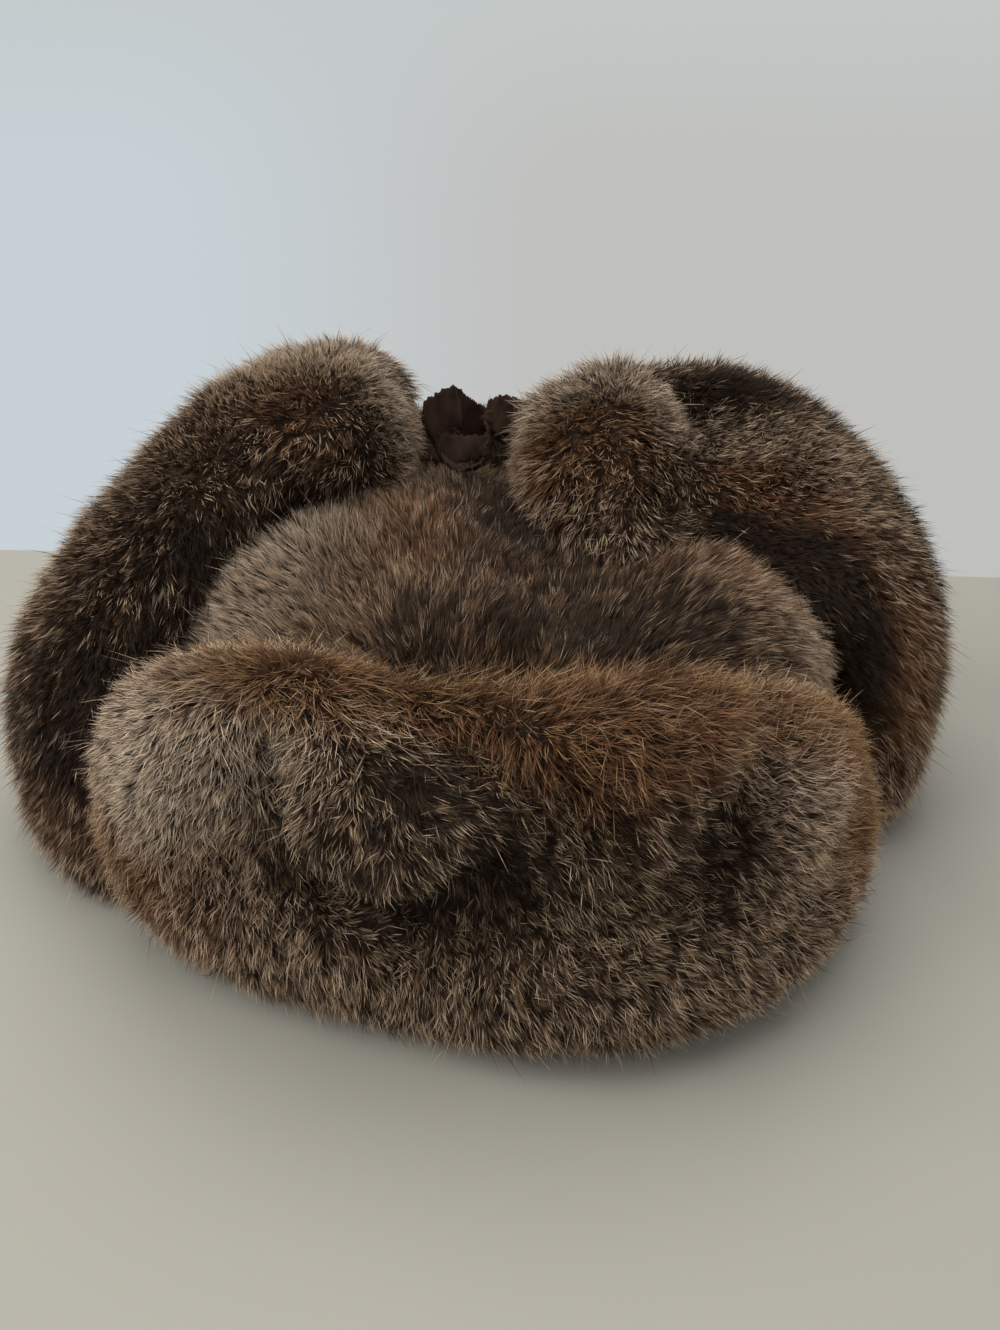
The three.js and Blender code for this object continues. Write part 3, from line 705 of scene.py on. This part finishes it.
def blades(name, roots, mids, tips, half, shades, regions, bent):
    """One mesh of flat pointed blades, each a straight triangle or a kite that bends at its middle."""
    count = len(roots)
    if bent:
        at = np.array([0, 0.5, 0.5, 1])
        co = np.stack([roots, mids - half, mids + half, tips], 1)
        faces = np.array([[0, 2, 1], [1, 2, 3]])
    else:
        at = np.array([0, 0, 1])
        co = np.stack([roots - half, roots + half, tips], 1)
        faces = np.array([[0, 1, 2]])
    per = co.shape[1]
    co = co.reshape(-1, 3)
    co[:, 2] = np.maximum(co[:, 2], HAIR_FLOOR)
    all_faces = (faces[None] + np.arange(count)[:, None, None] * per).reshape(-1, 3)
    mesh = bpy.data.meshes.new(name)
    mesh.vertices.add(len(co))
    mesh.vertices.foreach_set("co", co.ravel().astype(np.float32))
    mesh.loops.add(all_faces.size)
    mesh.loops.foreach_set("vertex_index", all_faces.ravel().astype(np.int32))
    mesh.polygons.add(len(all_faces))
    mesh.polygons.foreach_set("loop_start", np.arange(0, all_faces.size, 3, dtype=np.int32))
    mesh.polygons.foreach_set("use_smooth", np.ones(len(all_faces), bool))
    hair = np.empty((count, per, 4), np.float32)
    hair[:, :, 0] = at
    hair[:, :, 1:] = shades[:, None, :]
    region = np.ones((count, per, 4), np.float32)
    region[:] = regions[:, None, :]
    flat = bake_map(at, shades, regions, bent)
    uv = mesh.uv_layers.new(name="OFBake")
    uv.data.foreach_set("uv", flat[all_faces.ravel()].ravel().astype(np.float32))
    for label, values in (("hair", hair), ("region", region)):
        layer = mesh.attributes.new(label, "FLOAT_COLOR", "POINT")
        layer.data.foreach_set("color", values.ravel())
    mesh.update()
    return mesh


# Where hair grows: it needs this much room, and reaches its full density over the next few millimetres
LEAST_ROOM = 3 * MM
ROOM_BLEND = 4 * MM
THINNED = 0.8

# How far a tuft, and a hair of its own, turn from the comb in radians, and stray from their lean in degrees
TUFT_TURN = 0.34
HAIR_TURN = {"wool": 0.16, "fringe": 0.7}
TUFT_TILT = 7
HAIR_TILT = 8

ROOT_DEPTH = 1.2 * MM
DEEP_FOLD = 9
HALF_OF_BEND = 0.52


class HairLayer:
    """One layer of a piece's hair, from where it grows to one joined mesh of blades."""

    def __init__(self, node, name, mesh, room, seed, rng):
        self.node, self.name, self.seed, self.rng = node, name, seed, rng
        self.style = STYLES[node]
        self.count, self.length, self.width, self.lean, self.bend, tuft = self.style[name]
        places = scattered(mesh, self.count, self.thickness(mesh, room), rng)
        self.points, self.normals, corners, share = places
        self.reach = (room[corners] * share).sum(1)
        self.tufts, self.heads = clumps(self.points, max(self.count // tuft, 10), rng)
        self.pinch = np.clip(pressed(self.points, FOLDS.get(node, [])) / DEEP_FOLD, 0, 1)

    def thickness(self, mesh, room):
        """How thickly the layer grows at each vertex, from 0 to 1."""
        co, no = points_of(mesh)
        weight = np.clip((room - LEAST_ROOM) / ROOM_BLEND, 0, 1)
        if self.name == "fringe":
            weight = weight * patches(co, FRINGE, self.node)
        if self.name == "guard":
            weight = weight * (1 - THINNED * patches(co, THIN, self.node))
        if "grows" in self.style:
            weight = weight * self.style["grows"](co, no)
        return weight

    def wave(self, number, size):
        """One of the layer's own smooth irregular fields."""
        return waves(self.points, self.seed + number, size)

    def laid(self):
        """The way that each hair lies along the surface, and its angle from the normal."""
        stir = self.style["stir"]
        rng, tufts, own = self.rng, self.tufts, len(self.heads)
        swirl = stir * (0.45 * self.wave(1, 45) + 0.4 * self.wave(2, 17))
        swirl += stir * rng.normal(0, TUFT_TURN, own)[tufts]
        swirl += rng.normal(0, HAIR_TURN.get(self.name, TUFT_TURN * stir + 0.06), self.count)
        way = turned(combed(self.points, self.normals, *COMBS[self.node]), self.normals, swirl)
        lean = self.lean + rng.normal(0, TUFT_TILT, own)[tufts] + rng.normal(0, HAIR_TILT, self.count)
        return way, np.clip(np.radians(lean), 0.15, 1.5)

    def lengths(self, lift):
        """Each hair's length, shorter in a fold and where another pelt is near."""
        long = self.length * MM * self.rng.uniform(0.75, 1.2, self.count) * (1 + 0.12 * self.wave(3, 30))
        long *= np.clip(self.reach / (long * np.cos(lift) + 1e-5) * 0.85, 0.3, 1)
        return long * (1 - 0.35 * self.pinch)

    def curved(self, way, lift, long):
        """Each hair's root, middle and tip, bent over, with the tips of a tuft drawn together."""
        rng, tufts, normals = self.rng, self.tufts, self.normals
        curl = lift + math.radians(self.bend) * rng.uniform(0.5, 1.4, self.count)
        roots = self.points - normals * ROOT_DEPTH
        first = way * np.sin(lift)[:, None] + normals * np.cos(lift)[:, None]
        second = way * np.sin(curl)[:, None] + normals * np.cos(curl)[:, None]
        mids = roots + first * (long * HALF_OF_BEND)[:, None]
        tips = mids + second * (long * HALF_OF_BEND)[:, None]
        pull = (rng.uniform(0.35, 0.75, self.count) * (1 if self.name == "wool" else 0.6))[:, None]
        gather = tips[self.heads][tufts] + rng.normal(0, 0.5 * MM, (self.count, 3))
        tips = tips + (gather - tips) * pull
        mids = mids + (mids[self.heads][tufts] - mids) * pull * 0.35
        return roots, mids, tips

    def across(self, roots, tips):
        """A unit vector across each flat hair, twisted somewhat from the surface."""
        blade = tips - roots
        sides = np.cross(blade, self.normals)
        sides /= np.linalg.norm(sides, axis=1)[:, None] + 1e-9
        twist = self.rng.normal(0, 0.5, self.count)
        along = blade / (np.linalg.norm(blade, axis=1)[:, None] + 1e-9)
        return sides * np.cos(twist)[:, None] + np.cross(along, sides) * np.sin(twist)[:, None]

    def looks(self):
        """Each hair's tone, kind and layer, and its rust, grey, dark and random value, for the material."""
        rng, own = self.rng, len(self.heads)
        shades = np.ones((self.count, 3))
        tuft_tone = rng.random(own)[self.tufts]
        mottle = 0.5 + 0.5 * self.wave(4, 9)
        if self.name == "wool":
            shades[:, 0] = 0.2 * rng.random(self.count) + 0.35 * tuft_tone + 0.25 * mottle + 0.15
            shades[:, 2] = 0
        else:
            shades[:, 0] = 0.4 * rng.random(self.count) + 0.22 * tuft_tone + 0.38 * mottle
            shades[:, 2] = 1 - self.style.get("soft", 0)
        shades[:, 0] += self.style.get("even", 0)
        shades[:, 1] = 0.55 * rng.random(self.count) + 0.2 * rng.random(own)[self.tufts]
        shades[:, 1] += 0.25 * (0.5 + 0.5 * self.wave(5, 26))
        # Grey is partly frosty fur and partly painted highlight; dark is painted shade
        rust, grey, dark = (patches(self.points, table, self.node) for table in (RUST, GREY_AND_HIGHLIGHT, PAINTED_SHADE))
        # More painted shade in the folds, the deeper the darker
        dark = np.maximum(dark, 0.75 * self.pinch)
        return shades, np.stack([rust, grey, dark, rng.random(self.count)], 1)

    def mesh(self):
        """The layer's blades, as one mesh."""
        way, lift = self.laid()
        roots, mids, tips = self.curved(way, lift, self.lengths(lift))
        sides = self.across(roots, tips)
        shades, regions = self.looks()
        half = sides * (self.width / 2 * MM * self.rng.uniform(0.7, 1.3, self.count))[:, None]
        name = f"{self.node}_{self.name}"
        return blades(name, roots, mids, tips, half, shades, regions, self.name != "wool")


def grow(node, mesh, room, seed):
    """The hair of one piece, as one object for each of its layers."""
    rng = np.random.default_rng(seed)
    grown = []
    for layer in LAYERS:
        if layer in STYLES[node]:
            data = HairLayer(node, layer, mesh, room, seed, rng).mesh()
            grown.append(mesh_object(data.name, data, HAIR))
    return grown


# Suede ribbons. Each row is a ribbon's middle and half of its width as a vector, from the knot's own middle.

KNOT = (3.75, 20.05, 140.8)
SHIFT = (-1.3, 0, -1.2)
RIBBONS = {
    "tie_bow": [
        [
            ((-3.0, 2, 2.0), (0.8, 4.5, 0.5)),
            ((-2.4, -3, -6.5), (1.5, 5.6, 0)),
            ((-5.3, -5, -13.4), (1.2, 5.7, -1.4)),
            ((-11.7, -6, -15.8), (0, 5.8, -1.6)),
            ((-18.9, -6.5, -12.4), (-1, 5.6, 1)),
            ((-23.6, -7, -5), (-2.5, 4.5, 3.5)),
            ((-24.6, -6.5, 2.2), (-2.8, 2, 5.8)),
            ((-20.5, -6, 6), (-2.2, 1, 6.4)),
            ((-15.6, -5.5, 8.0), (-0.9, 1, 7.0)),
            ((-14.0, -3.0, 7.0), (-0.3, 0.5, 7.0)),
            ((-12.4, 1.2, 4.0), (1.0, -0.5, 6.8)),
            ((-9, 3.5, 1.6), (1.6, -1, 6.2)),
            ((-3.8, 2, 0.7), (0.5, 0, 5)),
        ],
        [
            ((-2.3, 2, 3.2), (0, 1, 5)),
            ((1.4, -3, 4.0), (0.5, 1, 6.9)),
            ((5.6, -4.5, 4.2), (1, 1.5, 6.4)),
            ((11, -5, 1.5), (1.5, 2.5, 5.8)),
            ((15.4, -3, -2), (1, 4.5, 4)),
            ((14, -1, -7.4), (0, 5.8, 1)),
            ((6.8, 0, -8.8), (0, 5.9, -1)),
            ((0.4, 1, -4.7), (0, 5, -2)),
        ],
    ],
    "tie_strap_left": [
        [
            ((-3, 7, -10.5), (0.3, 3.4, 3.2)),
            ((-12, 8, -11.5), (0.2, 3.6, 4.3)),
            ((-21, 8, -11.4), (0.2, 3.6, 4.4)),
            ((-34, 6.5, -9), (0.4, 4.4, 3.6)),
            ((-58, 3, 0.5), (0.5, 5.6, 2)),
        ],
    ],
    "tie_strap_right": [
        [
            ((4, 5, 0), (0.5, 2.5, 5)),
            ((11, 5, 0.6), (0.3, 2.5, 5.4)),
            ((19, 4.5, -1.2), (0.3, 3, 5.2)),
            ((32, 4, 0.5), (0.4, 4.5, 3.8)),
            ((54, 3, -1), (0.5, 5.5, 2.2)),
        ],
    ],
}


RIBBON_STEPS = 220
RIBBON_COLUMNS = 12
RIBBON_THICK = 1.3
SCALLOP_LENGTH = 2.6
STEPS_PER_ROW = 24


def smooth_rows(rows, steps):
    """The rows blended along the ribbon, evenly by its length."""
    table = np.array([[*place, *half] for place, half in rows], float)
    padded = np.vstack([2 * table[0] - table[1], table, 2 * table[-1] - table[-2]])
    fine = []
    for i in range(len(table) - 1):
        p0, p1, p2, p3 = padded[i : i + 4]
        for t in np.linspace(0, 1, STEPS_PER_ROW, endpoint=False):
            square = (2 * p0 - 5 * p1 + 4 * p2 - p3) * t**2
            cube = (3 * p1 - p0 - 3 * p2 + p3) * t**3
            fine.append(0.5 * (2 * p1 + (p2 - p0) * t + square + cube))
    fine.append(table[-1])
    fine = np.array(fine)
    run = np.concatenate([[0], np.cumsum(np.linalg.norm(np.diff(fine[:, :3], axis=0), axis=1))])
    at = np.linspace(0, run[-1], steps)
    return np.stack([np.interp(at, run, column) for column in fine.T], 1), at


def ribbon(rows, seed):
    """A closed strip of suede with scalloped edges: its points, in metres, and its faces."""
    rng = np.random.default_rng(seed)
    steps, across = RIBBON_STEPS, RIBBON_COLUMNS
    path, run = smooth_rows(rows, steps)
    centre, half = path[:, :3], path[:, 3:]
    forward = np.gradient(centre, axis=0)
    flat = np.cross(forward, half)
    flat /= np.linalg.norm(flat, axis=1)[:, None]
    scallops = []
    for _ in (0, 1):
        phase = np.cumsum(rng.uniform(0.6, 1.4, steps)) * (run[-1] / steps) * math.pi / SCALLOP_LENGTH
        jag = 0.55 * np.abs(np.sin(phase)) + 0.22 * rng.normal(size=steps)
        scallops.append(jag - 0.3)
    u = np.sin(np.linspace(-1, 1, across + 1) * math.pi / 2)
    wide = np.linalg.norm(half, axis=1)
    points = []
    for sign in (1, -1):
        for k, v in enumerate(u):
            edge = np.where(v > 0, scallops[0], scallops[1]) * abs(v) ** 4
            reach = v * (1 + edge / wide)
            body = RIBBON_THICK / 2 * math.sqrt(max(1 - abs(v) ** 6, 0)) * sign
            buckle = 0.35 * np.sin(run * 0.55 + 2.2 * v + seed) + 0.25 * np.sin(run * 1.3 - 3 * v + 2 * seed)
            out = body + buckle * (0.4 + 0.6 * abs(v))
            points.append(centre + half * reach[:, None] + flat * out[:, None])
    points = np.stack(points, 1).reshape(-1, 3)
    columns = 2 * (across + 1)
    faces = []
    ring = list(range(across + 1)) + list(range(columns - 2, across + 1, -1))
    for i in range(steps - 1):
        for a, b in zip(ring, ring[1:] + ring[:1]):
            faces.append((i * columns + a, i * columns + b, (i + 1) * columns + b, (i + 1) * columns + a))
    faces.append(tuple(reversed(ring)))
    faces.append(tuple((steps - 1) * columns + a for a in ring))
    return (points + np.array(KNOT) + np.array(SHIFT)) * MM, faces


KNOT_SIZE = (3.8, 4.6, 5.2)
KNOT_PLACE = (-1.6, 2.4, 0.4)


def knot_lump(seed):
    """The wrapped knot, a lump with creases that run round it."""
    rows, columns = 28, 40
    points, faces = [], []
    for i in range(rows + 1):
        v = math.pi * i / rows
        for j in range(columns):
            a = 2 * math.pi * j / columns
            crease = 1 + 0.07 * math.sin(3 * v + 2 * a + seed) + 0.05 * math.sin(9 * v - a)
            ball = math.sin(v) * math.cos(a), math.sin(v) * math.sin(a), math.cos(v)
            points.append([at + size * c * crease for at, size, c in zip(KNOT_PLACE, KNOT_SIZE, ball)])
    for i in range(rows):
        for j in range(columns):
            k = (j + 1) % columns
            faces.append((i * columns + j, (i + 1) * columns + j, (i + 1) * columns + k, i * columns + k))
    return (np.array(points) + np.array(KNOT) + np.array(SHIFT)) * MM, faces


def suede_piece(node):
    parts = [ribbon(rows, 7 * (i + 1)) for i, rows in enumerate(RIBBONS[node])]
    if node == "tie_bow":
        parts.append(knot_lump(3))
    points, faces = [], []
    for more, rings in parts:
        start = sum(len(p) for p in points)
        points.append(more)
        faces += [tuple(start + k for k in ring) for ring in rings]
    mesh = bpy.data.meshes.new(node + "_suede")
    mesh.from_pydata(np.concatenate(points).tolist(), [], faces)
    mesh.validate()
    mesh.shade_smooth()
    return mesh_object(node + "_suede", mesh, SUEDE)


# Stage

# The top that the hat stands on ends behind it, as in the photograph. Its corners are in metres.
TOP_CORNERS = [(-2.0, -2.0), (2.0, -2.0), (2.0, -0.032), (-2.0, 0.505)]
TOP_THICK = 0.03
WALL_RADIUS = 2.4
WALL_SIDES = 96
WALL_ENDS = (-2, 4)


def wall_material():
    """A glow in the photographed wall's colours, with painted window light that makes it lighter and bluer on
    the left, so that no light has to reach it.
    """
    material = bpy.data.materials.new("wall")
    n = Nodes(material)
    place = n.add("ShaderNodeSeparateXYZ", {"Vector": n.add("ShaderNodeTexCoord").outputs["Object"]}).outputs
    # Painted window light: lighter and bluer on the left low on the wall, evenly grey higher up
    side = n.mix(n.smooth(place["X"], -0.7, 0.5), (0.575, 0.635, 0.675, 1), (0.53, 0.53, 0.515, 1))
    shade = n.mix(n.smooth(place["Z"], 0.1, 0.75), side, (0.55, 0.585, 0.585, 1))
    glow = n.add("ShaderNodeEmission", {"Color": shade})
    n.add("ShaderNodeOutputMaterial", {"Surface": glow.outputs[0]})
    return material


def wall_sheet():
    """A round wall that stands far behind the hat on every side."""
    turns = [2 * math.pi * i / WALL_SIDES for i in range(WALL_SIDES)]
    ring = [(WALL_RADIUS * math.cos(turn), WALL_RADIUS * math.sin(turn)) for turn in turns]
    faces = []
    for i in range(WALL_SIDES):
        after = (i + 1) % WALL_SIDES
        faces.append((i, after, WALL_SIDES + after, WALL_SIDES + i))
    mesh = bpy.data.meshes.new("wall")
    mesh.from_pydata([(x, y, z) for z in WALL_ENDS for x, y in ring], [], faces)
    return mesh


def floor_slab():
    faces = [(0, 1, 2, 3), (7, 6, 5, 4)]
    faces += [(i, i + 4, (i + 1) % 4 + 4, (i + 1) % 4) for i in range(4)]
    mesh = bpy.data.meshes.new("floor")
    mesh.from_pydata([(x, y, z) for z in (0, -TOP_THICK) for x, y in TOP_CORNERS], [], faces)
    return mesh


def add_stage():
    floor = mesh_object("floor", floor_slab(), plain_material("floor", (0.315, 0.303, 0.262), 0.6))
    wall = mesh_object("wall", wall_sheet(), wall_material())
    wall.visible_shadow = False
    wall.visible_diffuse = False


def area_light(name, place, aim, size, power, colour):
    data = bpy.data.lights.new(name, "AREA")
    data.shape = "RECTANGLE"
    data.size, data.size_y = size
    data.energy = power
    data.color = colour
    light = bpy.data.objects.new(name, data)
    scene.collection.objects.link(light)
    place, aim = Vector(place), Vector(aim)
    facing = (aim - place).to_track_quat("-Z", "Y")
    light.matrix_world = Matrix.Translation(place) @ facing.to_matrix().to_4x4()
    return light


def add_lights():
    area_light("window", (-1.5, -0.2, 1.3), (0, 0, 0.08), (1.4, 1.2), 24, (1.0, 0.985, 0.96))
    area_light("above", (0.0, 0.3, 1.7), (0, 0, 0.1), (1.6, 1.6), 28, (1.0, 0.985, 0.96))
    area_light("front", (0.6, -1.6, 0.9), (0, 0, 0.08), (1.4, 1.2), 8, (1.0, 0.97, 0.93))
    world = bpy.data.worlds.new("world")
    scene.world = world
    world.use_nodes = True
    ground = world.node_tree.nodes["Background"]
    ground.inputs["Color"].default_value = (0.95, 0.97, 1.0, 1)
    ground.inputs["Strength"].default_value = 0.28
    scene.view_settings.view_transform = "Standard"


add_camera()
UNDERFUR = pelt_material()
HAIR = hair_material()
HIDE = hide_material()
SUEDE = suede_material()

# The fur of each piece. Each layer's row says how many hairs it has, their length and width, how far they
# lean and bend in degrees, and how many share a tuft. stir is how far the lay strays from the comb, soft is
# how much of the wool's look the longer hair takes, and even is added to every hair's tone.
STYLES = {
    "crown": {
        "stir": 0.55,
        "even": 0.02,
        "soft": 0.3,
        "wool": (89000, 7.5, 0.52, 46, 14, 18),
        "guard": (38000, 9, 0.22, 42, 16, 8),
        "stray": (900, 15, 0.2, 40, 20, 2),
    },
    "front_flap": {
        "stir": 1.15,
        "wool": (100000, 6.5, 0.6, 44, 18, 14),
        "guard": (50000, 8.5, 0.26, 34, 22, 4),
        "stray": (1500, 15, 0.18, 36, 20, 2),
        "fringe": (3400, 15, 0.24, 52, 26, 4),
    },
    "ear_flap_left": {
        "stir": 0.8,
        "wool": (96000, 6.5, 0.6, 38, 18, 14),
        "guard": (43000, 9.5, 0.26, 28, 20, 4),
        "stray": (1500, 15, 0.18, 30, 20, 2),
        "fringe": (1500, 12, 0.24, 30, 20, 5),
    },
    "ear_flap_right": {
        "stir": 0.85,
        "wool": (98000, 6.5, 0.6, 38, 18, 14),
        "guard": (45000, 9.5, 0.26, 28, 20, 4),
        "stray": (1500, 15, 0.18, 30, 20, 2),
        "fringe": (1500, 12, 0.24, 30, 20, 5),
    },
    "nape_flap": {
        "stir": 0.85,
        "wool": (60000, 6.5, 0.65, 44, 18, 14),
        "guard": (23500, 9, 0.28, 42, 22, 6),
        "stray": (900, 15, 0.2, 36, 20, 2),
    },
}
COMBS = {
    "crown": (CROWN_COMB, (0, -0.6, -1)),
    "front_flap": (FRONT_COMB, (0.3, 0, -1)),
    "ear_flap_left": (EAR_COMB, (-0.2, 0.3, -1)),
    "ear_flap_right": (EAR_COMB, (0.2, 0.3, -1)),
    "nape_flap": ([], (0, 0.2, -1)),
}
CROWN_MIDDLE = np.array((MIDDLE_X, 0.5, 30)) * MM
RIM_BARE = 4 * MM
LEAST_FACING = 0.15
PELT_VOXEL = 4.5
PELT_ROUNDS = 6


def crown_outside(co, no):
    """1 on the crown's outer side, 0 inside it and under its rim."""
    out = co - CROWN_MIDDLE
    facing = (out * no).sum(1) / np.linalg.norm(out, axis=1)
    return ((facing > LEAST_FACING) & (co[:, 2] > RIM_BARE)).astype(float)


STYLES["crown"]["grows"] = crown_outside

pelts = {node: pelt(node, PELT_VOXEL, PELT_ROUNDS) for node in STYLES}
for node, made in pelts.items():
    fold(made, FOLDS.get(node, []))
trees = {node: tree_of(made.data) for node, made in pelts.items()}
for seed, (node, body) in enumerate(pelts.items()):
    room = room_above(body.data, [tree for other, tree in trees.items() if other != node])
    hairs = grow(node, body.data, room, 100 * (seed + 1))
    for piece in [body, *hairs]:
        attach(piece, "root")
        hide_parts(node)

# The inside of the crown shows the pelt's skin side
crown = pelts["crown"].data
crown.materials.append(HIDE)
co, no = points_of(crown)
outside = crown_outside(co, no)
for polygon in crown.polygons:
    if all(outside[v] == 0 for v in polygon.vertices):
        polygon.material_index = 1

for node in RIBBONS:
    piece = suede_piece(node)
    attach(piece, "root")
    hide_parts(node)

add_stage()
add_lights()

bpy.context.view_layer.update()
